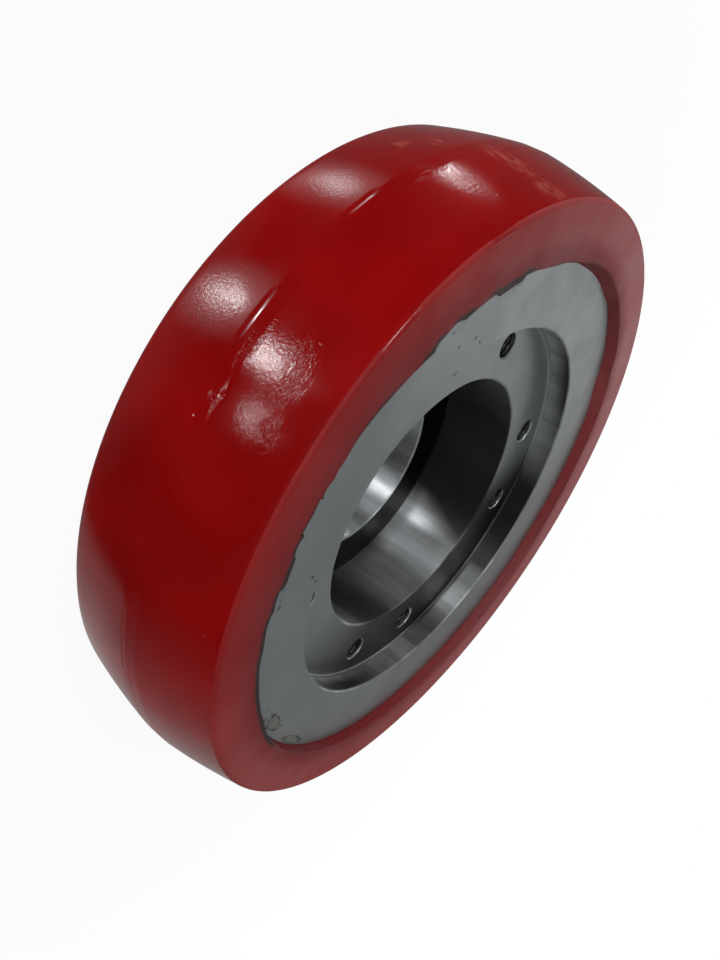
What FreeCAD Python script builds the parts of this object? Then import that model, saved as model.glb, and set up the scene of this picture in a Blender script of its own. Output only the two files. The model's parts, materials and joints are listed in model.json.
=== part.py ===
import FreeCAD, Part
import math
import os

# Polyurethane roller: a steel hub turned from one piece, with a crowned polyurethane tread cast onto it.
# The roller stands on its far end. Z is its axis, and +Z leaves the face that takes the bearing.
# Lengths are in millimetres and angles in degrees.

# Tread
TREAD_DIAMETER = 203.0       # over the crown
TREAD_WIDTH = 51.0
TREAD_END_DIAMETER = 194.4   # where the flanks reach the end faces
FLANK_BULGE = 0.4            # how far a flank rises above its straight chord
TREAD_EDGE_BREAK = 0.8       # the end faces are cut flat, and their crisp edges are only broken
PARTING_BAND_WIDTH = 4.4     # narrow band along the parting line, level between the two flanks

# Lip of the tread, which stands proud of the steel at both ends
LIP_HEIGHT = 3.0

# Nicks where the near lip was trimmed by hand: place, length along the lip and depth into it
TRIM_NICKS = (
    (-70.0, 19.0, 1.9),
    (-46.0, 20.0, 1.5),
    (31.0, 6.0, 0.7),
    (54.5, 22.0, 1.6),
    (73.8, 4.5, 0.8),
    (90.0, 7.0, 0.5),
)

# Hub
HUB_DIAMETER = 164.0
RECESS_DIAMETER = 123.4      # register of the bearing cover
RECESS_DEPTH = 8.0
SEAT_DIAMETER = 85.0         # outer ring of the bearing
SEAT_LENGTH = 25.0
BORE_DIAMETER = 58.0         # way through the shoulder for the shaft
RECESS_CORNER = 1.0          # slant that the tool leaves in the corner of the recess
EDGE_BREAK = 0.5             # chamfer on the machined edges

# Tapped holes for the cover, in pairs about the axis
HOLE_CIRCLE_DIAMETER = 106.0
PAIRS = 4
PAIR_SPREAD = 30.0           # angle between the two holes of a pair
TAP_DRILL_DIAMETER = 6.8     # for an 8 mm coarse thread
HOLE_DEPTH = 20.0            # full diameter, above the drill point
DRILL_POINT_ANGLE = 118.0
MOUTH_DIAMETER = 7.8         # light countersink at the mouth

# Heights worked out from the sizes above
MIDDLE = TREAD_WIDTH / 2
HUB_BOTTOM = LIP_HEIGHT
HUB_TOP = TREAD_WIDTH - LIP_HEIGHT
FLOOR = HUB_TOP - RECESS_DEPTH
SHOULDER = FLOOR - SEAT_LENGTH

AXIS_START = FreeCAD.Vector(0, 0, 0)
AXIS = FreeCAD.Vector(0, 0, 1)


def at(radius, height):
    """A point of a turned profile."""
    return FreeCAD.Vector(radius, 0, height)


def line(start, end):
    """A straight edge of a profile."""
    return Part.LineSegment(start, end).toShape()


def turned(edges):
    """The solid that a closed profile sweeps about the axis."""
    face = Part.Face(Part.Wire(edges))
    return face.revolve(AXIS_START, AXIS, 360)


def turned_polygon(corners):
    """The solid that a closed profile of straight edges sweeps about the axis."""
    ends = corners[1:] + corners[:1]
    return turned([line(start, end) for start, end in zip(corners, ends)])


def rings(solid, places):
    """The circular edges of a turned solid at the given radii and heights."""
    found = []
    for edge in solid.Edges:
        if not isinstance(edge.Curve, Part.Circle):
            continue
        here = at(edge.Curve.Radius, edge.Curve.Center.z)
        if any(here.distanceToPoint(place) < 0.01 for place in places):
            found.append(edge)
    return found


def flank_arc(side):
    """The bulged arc of one flank from its end face to its shoulder; side is 1 for near and -1 for far."""
    end = at(TREAD_END_DIAMETER / 2, MIDDLE + side * TREAD_WIDTH / 2)
    shoulder = at(TREAD_DIAMETER / 2, MIDDLE + side * PARTING_BAND_WIDTH / 2)
    outward = at(abs(end.z - shoulder.z), side * (shoulder.x - end.x)).normalize()
    return Part.Arc(end, (end + shoulder) / 2 + outward * FLANK_BULGE, shoulder).toShape()


def trim_nick(place, length, depth):
    """A knife cut into the lip: a shallow scallop that opens inwards and upwards."""
    radius = HUB_DIAMETER / 2
    half_length = radius * math.sin(math.radians(length / 2))
    blade_radius = (half_length ** 2 + depth ** 2) / (2 * depth)
    blade = Part.makeCylinder(blade_radius, LIP_HEIGHT, at(radius + depth - blade_radius, HUB_TOP))
    blade.rotate(AXIS_START, AXIS, place)
    return blade


def make_tread():
    """The cast tread: two bulged flanks, the parting band between them, and a trimmed lip."""
    inner = HUB_DIAMETER / 2
    outer = TREAD_END_DIAMETER / 2
    far_edge = at(outer, 0)
    near_edge = at(outer, TREAD_WIDTH)
    far_flank = flank_arc(-1)
    near_flank = flank_arc(1)
    body = turned([
        line(at(inner, 0), far_edge),
        far_flank,
        line(far_flank.valueAt(far_flank.LastParameter), near_flank.valueAt(near_flank.LastParameter)),
        near_flank,
        line(near_edge, at(inner, TREAD_WIDTH)),
        line(at(inner, TREAD_WIDTH), at(inner, 0)),
    ])
    body = body.makeChamfer(TREAD_EDGE_BREAK, rings(body, [far_edge, near_edge]))
    return body.cut([trim_nick(*nick) for nick in TRIM_NICKS])


def tapped_hole():
    """The drilled form of one tapped hole, standing at the hole circle at angle 0."""
    drill = TAP_DRILL_DIAMETER / 2
    mouth = MOUTH_DIAMETER / 2
    bottom = FLOOR - HOLE_DEPTH
    tip = bottom - drill / math.tan(math.radians(DRILL_POINT_ANGLE / 2))
    above = FLOOR + RECESS_DEPTH
    tool = turned_polygon([
        at(0, tip),
        at(drill, bottom),
        at(drill, FLOOR - (mouth - drill)),
        at(mouth, FLOOR),
        at(mouth, above),
        at(0, above),
    ])
    tool.translate(FreeCAD.Vector(HOLE_CIRCLE_DIAMETER / 2, 0, 0))
    return tool


def make_hub():
    """The turned hub: outer ring, cover recess, bearing seat, shoulder and bore, then the tapped holes."""
    outer = HUB_DIAMETER / 2
    recess = RECESS_DIAMETER / 2
    seat = SEAT_DIAMETER / 2
    bore = BORE_DIAMETER / 2
    body = turned_polygon([
        at(bore, HUB_BOTTOM),
        at(outer, HUB_BOTTOM),
        at(outer, HUB_TOP),
        at(recess, HUB_TOP),
        at(recess, FLOOR),
        at(seat, FLOOR),
        at(seat, SHOULDER),
        at(bore, SHOULDER),
    ])
    body = body.makeChamfer(RECESS_CORNER, rings(body, [at(recess, FLOOR)]))
    machined = [at(recess, HUB_TOP), at(seat, FLOOR), at(bore, SHOULDER), at(bore, HUB_BOTTOM)]
    body = body.makeChamfer(EDGE_BREAK, rings(body, machined))
    holes = []
    for pair in range(PAIRS):
        for offset in (-PAIR_SPREAD / 2, PAIR_SPREAD / 2):
            hole = tapped_hole()
            hole.rotate(AXIS_START, AXIS, pair * 360 / PAIRS + offset)
            holes.append(hole)
    return body.cut(holes)


os.makedirs("parts", exist_ok=True)
make_hub().exportStep("parts/hub.step")
make_tread().exportStep("parts/tread.step")
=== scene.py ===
"""Looks of the polyurethane roller: a turned steel hub inside a glossy cast tread.

The roller stands on its far end. Z is its axis, and +Z leaves the near face, which takes the bearing.
Lengths are in metres and angles in degrees. Marks and the lip's tables give lengths in millimetres.
"""

from __future__ import annotations

import json
import logging
import math
from dataclasses import dataclass, field
from enum import Enum, IntEnum

import bpy
import numpy as np
from mathutils import Matrix, Quaternion, Vector

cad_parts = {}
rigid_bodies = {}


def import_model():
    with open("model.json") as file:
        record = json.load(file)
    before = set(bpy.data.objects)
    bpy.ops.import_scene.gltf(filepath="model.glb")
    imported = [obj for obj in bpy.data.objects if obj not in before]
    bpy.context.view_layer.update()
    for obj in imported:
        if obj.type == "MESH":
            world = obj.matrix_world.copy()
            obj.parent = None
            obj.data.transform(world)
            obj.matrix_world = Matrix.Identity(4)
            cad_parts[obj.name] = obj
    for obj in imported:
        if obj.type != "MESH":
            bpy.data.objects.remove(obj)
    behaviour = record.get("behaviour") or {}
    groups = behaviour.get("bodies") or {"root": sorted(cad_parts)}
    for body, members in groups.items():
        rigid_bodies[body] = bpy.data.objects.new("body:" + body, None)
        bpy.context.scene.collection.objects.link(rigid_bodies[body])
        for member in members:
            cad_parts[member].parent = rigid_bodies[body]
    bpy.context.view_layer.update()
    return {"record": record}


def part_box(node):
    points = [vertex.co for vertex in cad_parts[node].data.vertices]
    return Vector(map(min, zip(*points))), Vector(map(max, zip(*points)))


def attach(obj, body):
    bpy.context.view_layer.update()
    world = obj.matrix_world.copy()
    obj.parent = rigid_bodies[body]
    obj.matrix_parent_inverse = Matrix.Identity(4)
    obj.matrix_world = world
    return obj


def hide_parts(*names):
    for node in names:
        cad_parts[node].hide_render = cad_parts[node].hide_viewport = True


LOG = logging.getLogger("roller")
MM = 0.001
BODY = "root"
# Points of a turned shape that are nearer to each other than this become one
WELD = 0.0005 * MM

Point = tuple[float, float]
Colour = tuple[float, float, float]
Measure = np.ndarray | float
Socket = bpy.types.NodeSocket


class Skin(IntEnum):
    """Material slots of the tread."""

    MOULDED = 0
    CUT = 1


class Turning(IntEnum):
    """Material slots of the hub."""

    FACED = 0
    BORED = 1
    # The shoulder's near-black steel, painted shade
    SHOULDER_SHADE = 2
    TAPPED = 3
    CORNER = 4


class Attribute(Enum):
    """Names of the mesh attributes that carry marks into the materials."""

    SCALES = "scales"
    RAGGED = "ragged"
    GRIT = "grit"
    RUBBED = "rubbed"
    # Dust and chalk are partly painted sheen, grime and oil are painted shade, and stain is partly painted
    # shade
    DUST_AND_SHEEN = "dust_and_sheen"
    LIP_SHADE = "lip_shade"
    CHALK_AND_SHEEN = "chalk_and_sheen"
    SMEAR = "smear"
    STAIN_AND_SHADE = "stain_and_shade"
    PAINTED_SHADE = "painted_shade"


class Reach(Enum):
    """What a lamp acts on."""

    ALL = "all"
    GLOSS = "gloss"
    MATT = "matt"


# Node helpers


@dataclass
class NodeSheet:
    """A node tree under construction."""

    tree: bpy.types.NodeTree

    def add(self, kind: str, settings: dict | None = None, **inputs: object) -> bpy.types.Node:
        """Adds a node, sets its properties, and fills its inputs.

        Args:
            kind: Blender's identifier of the node type.
            settings: Properties of the node by name.
            inputs: A value or an output socket for each input, named with underscores for spaces.

        Returns:
            The new node.
        """
        node = self.tree.nodes.new(kind)
        for name, value in (settings or {}).items():
            setattr(node, name, value)
        for name, value in inputs.items():
            self.feed(self.socket(node, name), value)
        return node

    def socket(self, node: bpy.types.Node, name: str) -> Socket:
        """The enabled input of a node by its name with underscores, or by its place as in i0."""
        if name[0] == "i" and name[1:].isdigit():
            return node.inputs[int(name[1:])]
        wanted = name.replace("_", " ").lower()
        for socket in node.inputs:
            if socket.enabled and socket.name.lower() == wanted:
                return socket
        raise KeyError(f"{node.bl_idname} has no input {wanted}")

    def feed(self, socket: Socket, value: object) -> None:
        """Links an output into a socket, or sets the socket's own value."""
        if isinstance(value, Socket):
            self.tree.links.new(value, socket)
        else:
            socket.default_value = value

    def math(self, operation: str, *values: object) -> Socket:
        """The output of a Math node, which all kinds of tree share."""
        node = self.tree.nodes.new("ShaderNodeMath")
        node.operation = operation
        for place, value in enumerate(values):
            self.feed(node.inputs[place], value)
        return node.outputs[0]

    def vector(self, operation: str, *values: object) -> bpy.types.bpy_prop_collection:
        """The outputs of a Vector Math node."""
        node = self.add("ShaderNodeVectorMath", {"operation": operation})
        for place, value in enumerate(values):
            self.feed(node.inputs[place], value)
        return node.outputs

    def on_circle(self, radius: Socket, angle: Socket, height: object = 0.0) -> Socket:
        """The place at a radius and an angle round the axis, and at a height along it."""
        across = self.math("MULTIPLY", radius, self.math("COSINE", angle))
        along = self.math("MULTIPLY", radius, self.math("SINE", angle))
        return self.add("ShaderNodeCombineXYZ", X=across, Y=along, Z=height).outputs["Vector"]


@dataclass
class SurfaceSheet(NodeSheet):
    """The node tree of a surface material, of a lamp or of the world."""

    def noise(self, place: Socket, scale: float, detail: float = 2.0, rough: float = 0.5) -> Socket:
        """Noise of the given scale, from 0 to 1."""
        node = self.add("ShaderNodeTexNoise", Vector=place, Scale=scale, Detail=detail, Roughness=rough)
        return node.outputs["Fac"]

    def rings(self, along: Socket, scale: float, detail: float) -> Socket:
        """Noise that changes along one measure only, from 0 to 1."""
        settings = {"noise_dimensions": "1D"}
        node = self.add("ShaderNodeTexNoise", settings, W=along, Scale=scale, Detail=detail)
        return node.outputs["Fac"]

    def band(self, value: object, low: float, high: float, first: float = 0.0, last: float = 1.0) -> Socket:
        """A value taken smoothly from one range to another."""
        node = self.add(
            "ShaderNodeMapRange",
            {"interpolation_type": "SMOOTHSTEP"},
            Value=value,
            From_Min=low,
            From_Max=high,
            To_Min=first,
            To_Max=last,
        )
        return node.outputs["Result"]

    def ramp(self, value: object, low: float, high: float, first: float, last: float) -> Socket:
        """A value taken evenly from one range to another, and held at the ends."""
        node = self.add(
            "ShaderNodeMapRange", Value=value, From_Min=low, From_Max=high, To_Min=first, To_Max=last
        )
        return node.outputs["Result"]

    def blend(self, share: object, first: object, second: object) -> Socket:
        """A mix of two colours."""
        node = self.tree.nodes.new("ShaderNodeMix")
        node.data_type = "RGBA"
        self.feed(node.inputs["Factor"], share)
        for socket, colour in zip((s for s in node.inputs if s.type == "RGBA"), (first, second)):
            self.feed(socket, colour if isinstance(colour, Socket) else (*colour, 1.0))
        return next(s for s in node.outputs if s.type == "RGBA")

    def mark(self, attribute: Attribute) -> Socket:
        """A mesh attribute as a number."""
        node = self.add("ShaderNodeAttribute", {"attribute_name": attribute.value})
        return node.outputs["Fac"]

    def relief(self, height: Socket, depth: float, below: Socket | None = None) -> Socket:
        """A normal roughened by a height pattern of the given depth in metres."""
        node = self.add("ShaderNodeBump", Height=height, Distance=depth, Strength=1.0)
        if below is not None:
            self.feed(node.inputs["Normal"], below)
        return node.outputs["Normal"]

    def radius(self, place: Socket) -> Socket:
        """Distance of a place from the axis."""
        flat = self.vector("MULTIPLY", place, (1.0, 1.0, 0.0))["Vector"]
        return self.vector("LENGTH", flat)["Value"]

    def height(self, place: Socket) -> Socket:
        """Height of a place along the axis."""
        return self.add("ShaderNodeSeparateXYZ", Vector=place).outputs["Z"]

    def unrolled(self, place: Socket, girth: float, stretch: float) -> Socket:
        """A place on a turned wall, unrolled flat.

        Args:
            place: Place of each point on the object.
            girth: Radius at which the wall is unrolled.
            stretch: How far a pattern is drawn out round the axis.

        Returns:
            The distance round the axis, divided by the stretch, and the height.
        """
        parts = self.add("ShaderNodeSeparateXYZ", Vector=place).outputs
        angle = self.math("ARCTAN2", parts["Y"], parts["X"])
        around = self.math("MULTIPLY", angle, girth / stretch)
        return self.add("ShaderNodeCombineXYZ", X=around, Y=parts["Z"]).outputs["Vector"]

    def shaken(self, place: Socket, scale: float, reach: float) -> Socket:
        """A place moved about by noise, so that a mark drawn on it gets a ragged edge."""
        noise = self.add("ShaderNodeTexNoise", Vector=place, Scale=scale, Detail=2.0).outputs["Color"]
        centred = self.vector("SUBTRACT", noise, (0.5, 0.5, 0.5))["Vector"]
        return self.vector("MULTIPLY_ADD", centred, (reach, reach, 0.0), place)["Vector"]


def empty_sheet(owner: bpy.types.Material | bpy.types.World | bpy.types.Light) -> SurfaceSheet:
    """The node tree of a material, a world or a lamp, with nothing in it yet."""
    owner.use_nodes = True
    owner.node_tree.nodes.clear()
    return SurfaceSheet(owner.node_tree)


def new_surface(name: str) -> tuple[bpy.types.Material, SurfaceSheet, bpy.types.Node, Socket]:
    """Starts a material.

    Args:
        name: Name of the material.

    Returns:
        The material, its sheet, its surface shader, and the place of each point on the object.
    """
    material = bpy.data.materials.new(name)
    sheet = empty_sheet(material)
    shader = sheet.add("ShaderNodeBsdfPrincipled")
    sheet.add("ShaderNodeOutputMaterial", Surface=shader.outputs["BSDF"])
    place = sheet.add("ShaderNodeTexCoord").outputs["Object"]
    return material, sheet, shader, place


# Finishes


@dataclass(frozen=True)
class MouldedRed:
    """Glossy red of the tread as it leaves the mould."""

    deep: Colour = (0.220, 0.0012, 0.0016)
    bright: Colour = (0.285, 0.0018, 0.0022)
    dusty_sheen: Colour = (0.380, 0.066, 0.050)
    speck: Colour = (0.500, 0.220, 0.200)
    gloss: float = 0.12
    dust_and_sheen_dulling: float = 0.08
    rub_dulling: float = 0.55
    girth: float = 100.0 * MM
    scale_depth: float = 0.060 * MM
    ragged_depth: float = 0.070 * MM
    grit_depth: float = 0.040 * MM
    wobble_depth: float = 0.15 * MM

    def colour(self, sheet: SurfaceSheet, place: Socket) -> Socket:
        """The clouded red with its pale streaks of dust and painted sheen, and pale specks."""
        cloud = sheet.band(sheet.noise(place, scale=28.0), 0.35, 0.70)
        red = sheet.blend(cloud, self.deep, self.bright)
        # Pale streaks where the dust mark is set: partly dust, partly painted sheen
        short = sheet.unrolled(place, self.girth, stretch=0.4)
        streaks = sheet.noise(short, scale=220.0, detail=4.0)
        dust_and_sheen = sheet.math("MULTIPLY", sheet.mark(Attribute.DUST_AND_SHEEN), sheet.band(streaks, 0.35, 0.75))
        red = sheet.blend(dust_and_sheen, red, self.dusty_sheen)
        specks = sheet.add("ShaderNodeTexVoronoi", Vector=place, Scale=130.0)
        near_speck = sheet.band(specks.outputs["Distance"], 0.030, 0.055, 1.0, 0.0)
        chosen = sheet.band(sheet.noise(place, scale=45.0), 0.56, 0.60)
        return sheet.blend(sheet.math("MULTIPLY", near_speck, chosen), red, self.speck)

    def normal(self, sheet: SurfaceSheet, place: Socket) -> Socket:
        """The wandering skin with its grit, its scaly patches and its ragged seams."""
        drawn = sheet.unrolled(place, self.girth, stretch=2.2)
        upright = sheet.unrolled(place, self.girth, stretch=0.6)
        grit = sheet.noise(place, scale=1300.0, detail=3.0, rough=0.65)
        grit = sheet.math("MULTIPLY", grit, sheet.mark(Attribute.GRIT))
        scales = sheet.band(sheet.noise(drawn, scale=1000.0, detail=3.0, rough=0.6), 0.42, 0.60)
        scales = sheet.math("MULTIPLY", scales, sheet.mark(Attribute.SCALES))
        ragged = sheet.band(sheet.noise(upright, scale=900.0, detail=3.0), 0.42, 0.60)
        ragged = sheet.math("MULTIPLY", ragged, sheet.mark(Attribute.RAGGED))
        normal = sheet.relief(sheet.noise(place, scale=55.0, detail=1.0), self.wobble_depth)
        normal = sheet.relief(grit, self.grit_depth, normal)
        normal = sheet.relief(scales, self.scale_depth, normal)
        return sheet.relief(ragged, self.ragged_depth, normal)

    def material(self) -> bpy.types.Material:
        """The finish as a material."""
        material, sheet, shader, place = new_surface("moulded red polyurethane")
        sheet.feed(shader.inputs["Base Color"], self.colour(sheet, place))
        handled = sheet.noise(place, scale=60.0, detail=3.0)
        rough = sheet.band(handled, 0.3, 0.8, self.gloss - 0.03, self.gloss + 0.04)
        rough = sheet.math("MULTIPLY_ADD", sheet.mark(Attribute.DUST_AND_SHEEN), self.dust_and_sheen_dulling, rough)
        rough = sheet.math("MULTIPLY_ADD", sheet.mark(Attribute.RUBBED), self.rub_dulling, rough)
        sheet.feed(shader.inputs["Roughness"], rough)
        sheet.feed(shader.inputs["Normal"], self.normal(sheet, place))
        return material


@dataclass(frozen=True)
class CutRed:
    """Satin red of the end faces, where the tread was cut and rubbed."""

    deep: Colour = (0.240, 0.006, 0.007)
    chalky: Colour = (0.285, 0.013, 0.013)
    handled: Colour = (0.135, 0.011, 0.013)
    # Colour of the painted shade along the lip
    lip_shade: Colour = (0.030, 0.018, 0.017)
    dusty_sheen: Colour = (0.360, 0.122, 0.122)
    satin: float = 0.46
    edge_dulling: float = 0.15
    specular: float = 0.22
    ring_depth: float = 0.03 * MM
    lip_radius: float = 82.0 * MM
    clean_radius: float = 83.5 * MM
    dusty_sheen_radius: float = 90.0 * MM
    rim_radius: float = 95.0 * MM
    break_start: float = 96.2 * MM
    break_end: float = 96.5 * MM

    def material(self) -> bpy.types.Material:
        """The finish as a material."""
        material, sheet, shader, place = new_surface("cut red polyurethane")
        radius = sheet.radius(place)
        cloud = sheet.band(sheet.noise(place, scale=40.0, detail=4.0), 0.35, 0.75)
        red = sheet.blend(cloud, self.deep, self.chalky)
        # Darker towards the lip, in the handled colour: painted shade
        lip_side_shade = sheet.band(radius, self.lip_radius, self.rim_radius, 0.75, 0.0)
        red = sheet.blend(lip_side_shade, red, self.handled)
        # Paler tint of chalk and painted sheen, strongest on one side of the face and away from the lip
        away = sheet.band(radius, self.clean_radius, self.dusty_sheen_radius, 0.2, 1.0)
        red = sheet.blend(sheet.math("MULTIPLY", sheet.mark(Attribute.CHALK_AND_SHEEN), away), red, self.dusty_sheen)
        # Dark along the lip's edge and foot: painted shade, broken up by noise
        fleck = sheet.noise(place, scale=350.0, detail=3.0)
        broken = sheet.math("MULTIPLY_ADD", fleck, 0.5, sheet.mark(Attribute.LIP_SHADE))
        red = sheet.blend(sheet.band(broken, 0.50, 1.0), red, self.lip_shade)
        sheet.feed(shader.inputs["Base Color"], red)
        rubbed = sheet.noise(place, scale=90.0, detail=3.0)
        rough = sheet.band(rubbed, 0.3, 0.75, self.satin - 0.05, self.satin + 0.10)
        broken_edge = sheet.band(radius, self.break_start, self.break_end, 0.0, self.edge_dulling)
        rough = sheet.math("ADD", rough, broken_edge)
        sheet.feed(shader.inputs["Roughness"], rough)
        shader.inputs["Specular IOR Level"].default_value = self.specular
        normal = sheet.relief(sheet.rings(radius, scale=1500.0, detail=2.0), self.ring_depth)
        normal = sheet.relief(sheet.noise(place, scale=1100.0, detail=2.0), 0.6 * self.ring_depth, normal)
        sheet.feed(shader.inputs["Normal"], normal)
        return material


@dataclass(frozen=True)
class Spot:
    """A small mark on a turned face, placed by its angle and radius. Lengths are in millimetres."""

    angle: float
    radius: float
    size: float

    def weight(self, sheet: SurfaceSheet, place: Socket, height: float) -> Socket:
        """How much of the mark covers each point of a face at a height, from 0 to 1."""
        turn = math.radians(self.angle)
        radius = self.radius * MM
        size = self.size * MM
        centre = (radius * math.cos(turn), radius * math.sin(turn), height)
        away = sheet.vector("DISTANCE", place, centre)["Value"]
        return sheet.band(away, 0.4 * size, size, 0.7, 0.0)


@dataclass(frozen=True)
class TurnedSteel:
    """Steel with the fine rings that a lathe tool leaves."""

    name: str
    bright: Colour
    dull: Colour
    rough: float
    ring_scale: float = 2600.0
    ring_depth: float = 0.006 * MM
    spread: float = 0.0
    spread_turn: float = 0.25
    smear_dulling: float = 0.3
    stain_and_shade: Colour = (0.050, 0.052, 0.046)
    smear: Colour = (0.130, 0.142, 0.120)
    painted_shade: Colour = (0.075, 0.075, 0.070)
    spots: tuple[Spot, ...] = ()
    spot_height: float = 48.0 * MM

    def pattern(self, sheet: SurfaceSheet, place: Socket) -> Socket:
        """Where the steel is bright: in clouds, or in a bore in streaks along the axis."""
        if not self.spread:
            return sheet.noise(place, scale=60.0, detail=5.0, rough=0.6)
        streaks = sheet.vector("MULTIPLY", place, (1.0, 1.0, 0.12))["Vector"]
        return sheet.noise(streaks, scale=150.0, detail=3.0, rough=0.6)

    def soiled(self, sheet: SurfaceSheet, place: Socket) -> tuple[Socket, Socket]:
        """How much of stains, painted shade and small marks, and of smeared adhesive, covers each point."""
        fleck = sheet.noise(place, scale=420.0, detail=4.0, rough=0.65)
        stain_and_shade = sheet.math("MULTIPLY", sheet.mark(Attribute.STAIN_AND_SHADE), sheet.band(fleck, 0.35, 0.65))
        shaken = sheet.shaken(place, scale=900.0, reach=1.2 * MM)
        for spot in self.spots:
            stain_and_shade = sheet.math("MAXIMUM", stain_and_shade, spot.weight(sheet, shaken, self.spot_height))
        ragged = sheet.math("MULTIPLY_ADD", fleck, 2.0, sheet.mark(Attribute.SMEAR))
        inside = sheet.band(ragged, 1.50, 1.65)
        rim = sheet.math("SUBTRACT", sheet.band(ragged, 1.32, 1.48), inside)
        rim = sheet.math("MULTIPLY", rim, sheet.band(sheet.mark(Attribute.SMEAR), 0.0, 0.1))
        return sheet.math("MAXIMUM", stain_and_shade, rim), inside

    def material(self) -> bpy.types.Material:
        """The finish as a material."""
        material, sheet, shader, place = new_surface(self.name)
        cloud = sheet.band(self.pattern(sheet, place), 0.25, 0.75)
        steel = sheet.blend(cloud, self.dull, self.bright)
        stain_and_shade, smear = self.soiled(sheet, place)
        # Darker steel where the shade mark is set: painted shade
        steel = sheet.blend(sheet.mark(Attribute.PAINTED_SHADE), steel, self.painted_shade)
        steel = sheet.blend(stain_and_shade, steel, self.stain_and_shade)
        sheet.feed(shader.inputs["Base Color"], sheet.blend(smear, steel, self.smear))
        sheet.feed(shader.inputs["Metallic"], sheet.math("SUBTRACT", 1.0, smear))
        handled = sheet.noise(place, scale=130.0, detail=4.0)
        worn = sheet.band(handled, 0.3, 0.7, self.rough - 0.02, self.rough + 0.03)
        rough = sheet.math("MULTIPLY_ADD", smear, self.smear_dulling, worn)
        sheet.feed(shader.inputs["Roughness"], rough)
        if self.spread:
            shader.inputs["Anisotropic"].default_value = self.spread
            shader.inputs["Anisotropic Rotation"].default_value = self.spread_turn
            around = sheet.add("ShaderNodeTangent", {"direction_type": "RADIAL", "axis": "Z"})
            sheet.feed(shader.inputs["Tangent"], around.outputs["Tangent"])
        along = sheet.math("ADD", sheet.radius(place), sheet.height(place))
        normal = sheet.relief(sheet.rings(along, self.ring_scale, detail=3.0), self.ring_depth)
        normal = sheet.relief(sheet.noise(place, scale=900.0, detail=3.0), 0.5 * self.ring_depth, normal)
        sheet.feed(shader.inputs["Normal"], normal)
        return material


FACED_STEEL = TurnedSteel(
    "faced steel",
    bright=(0.43, 0.46, 0.465),
    dull=(0.37, 0.40, 0.405),
    rough=0.42,
    spots=(
        Spot(21.0, 68.2, 0.8),
        Spot(19.1, 65.8, 0.7),
        Spot(28.4, 76.1, 0.8),
        Spot(26.7, 70.0, 0.7),
        Spot(84.2, 65.1, 0.9),
        Spot(86.0, 63.2, 0.8),
        Spot(88.8, 75.7, 0.9),
    ),
)
BORED_STEEL = TurnedSteel(
    "bored steel",
    bright=(0.78, 0.81, 0.825),
    dull=(0.42, 0.44, 0.455),
    rough=0.42,
    ring_scale=3000.0,
    ring_depth=0.004 * MM,
    spread=0.92,
)
# Near-black steel for the shoulder: painted shade deep in the bore
SHOULDER_SHADE_STEEL = TurnedSteel(
    "shaded steel", bright=(0.030, 0.030, 0.032), dull=(0.018, 0.018, 0.019), rough=0.38
)
# Dark steel for the inside of the tapped holes: painted shade
TAPPED_STEEL = TurnedSteel(
    "tapped steel", bright=(0.105, 0.110, 0.115), dull=(0.060, 0.062, 0.065), rough=0.34
)
# Paler steel for the recess's corner: a painted highlight
CORNER_STEEL = TurnedSteel(
    "steel in a corner", bright=(0.50, 0.52, 0.53), dull=(0.40, 0.42, 0.43), rough=0.36
)


# Shapes


@dataclass
class Outline:
    """A closed turned profile, drawn point by point against the clock."""

    points: list[Point] = field(default_factory=list)

    def start(self, point: Point) -> None:
        """Puts the first point down."""
        self.points.append(point)

    def run(self, end: Point, steps: int = 1) -> None:
        """Draws a straight run to the end in equal steps."""
        begin = self.points[-1]
        for step in range(1, steps + 1):
            share = step / steps
            self.points.append(tuple(b + share * (e - b) for b, e in zip(begin, end)))

    def bend(self, corner: Point, end: Point, steps: int) -> None:
        """Draws a rounded corner that heads for the corner and leaves it towards the end."""
        begin = self.points[-1]
        for step in range(1, steps + 1):
            share = step / steps
            rest = 1.0 - share
            self.points.append(tuple(
                rest * rest * b + 2.0 * rest * share * c + share * share * e
                for b, c, e in zip(begin, corner, end)
            ))

    def mesh(self, name: str) -> bpy.types.Mesh:
        """The profile as a row of loose points in the XZ plane."""
        mesh = bpy.data.meshes.new(name)
        mesh.from_pydata([(radius, 0.0, height) for radius, height in self.points], [], [])
        return mesh


def new_tree(name: str, inputs: dict[str, str]) -> tuple[NodeSheet, bpy.types.bpy_prop_collection]:
    """Starts a geometry tree that takes in a geometry and gives one back.

    Args:
        name: Name of the tree.
        inputs: Kind of socket for each further input, by the input's name.

    Returns:
        The tree's sheet, and what the tree is given through its inputs.
    """
    tree = bpy.data.node_groups.new(name, "GeometryNodeTree")
    for label, kind in {"Geometry": "Geometry", **inputs}.items():
        tree.interface.new_socket(label, in_out="INPUT", socket_type=f"NodeSocket{kind}")
    tree.interface.new_socket("Geometry", in_out="OUTPUT", socket_type="NodeSocketGeometry")
    sheet = NodeSheet(tree)
    return sheet, sheet.add("NodeGroupInput").outputs


def end_tree(sheet: NodeSheet, geometry: Socket, material: Socket) -> bpy.types.NodeTree:
    """Ends a geometry tree by making its copies real and giving them their material.

    Args:
        sheet: The tree's sheet.
        geometry: What the tree has made.
        material: The material that it takes.

    Returns:
        The finished tree.
    """
    whole = sheet.add("GeometryNodeRealizeInstances", Geometry=geometry).outputs["Geometry"]
    dressed = sheet.add("GeometryNodeSetMaterial", Geometry=whole, Material=material)
    sheet.add("NodeGroupOutput", Geometry=dressed.outputs["Geometry"])
    return sheet.tree


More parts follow.
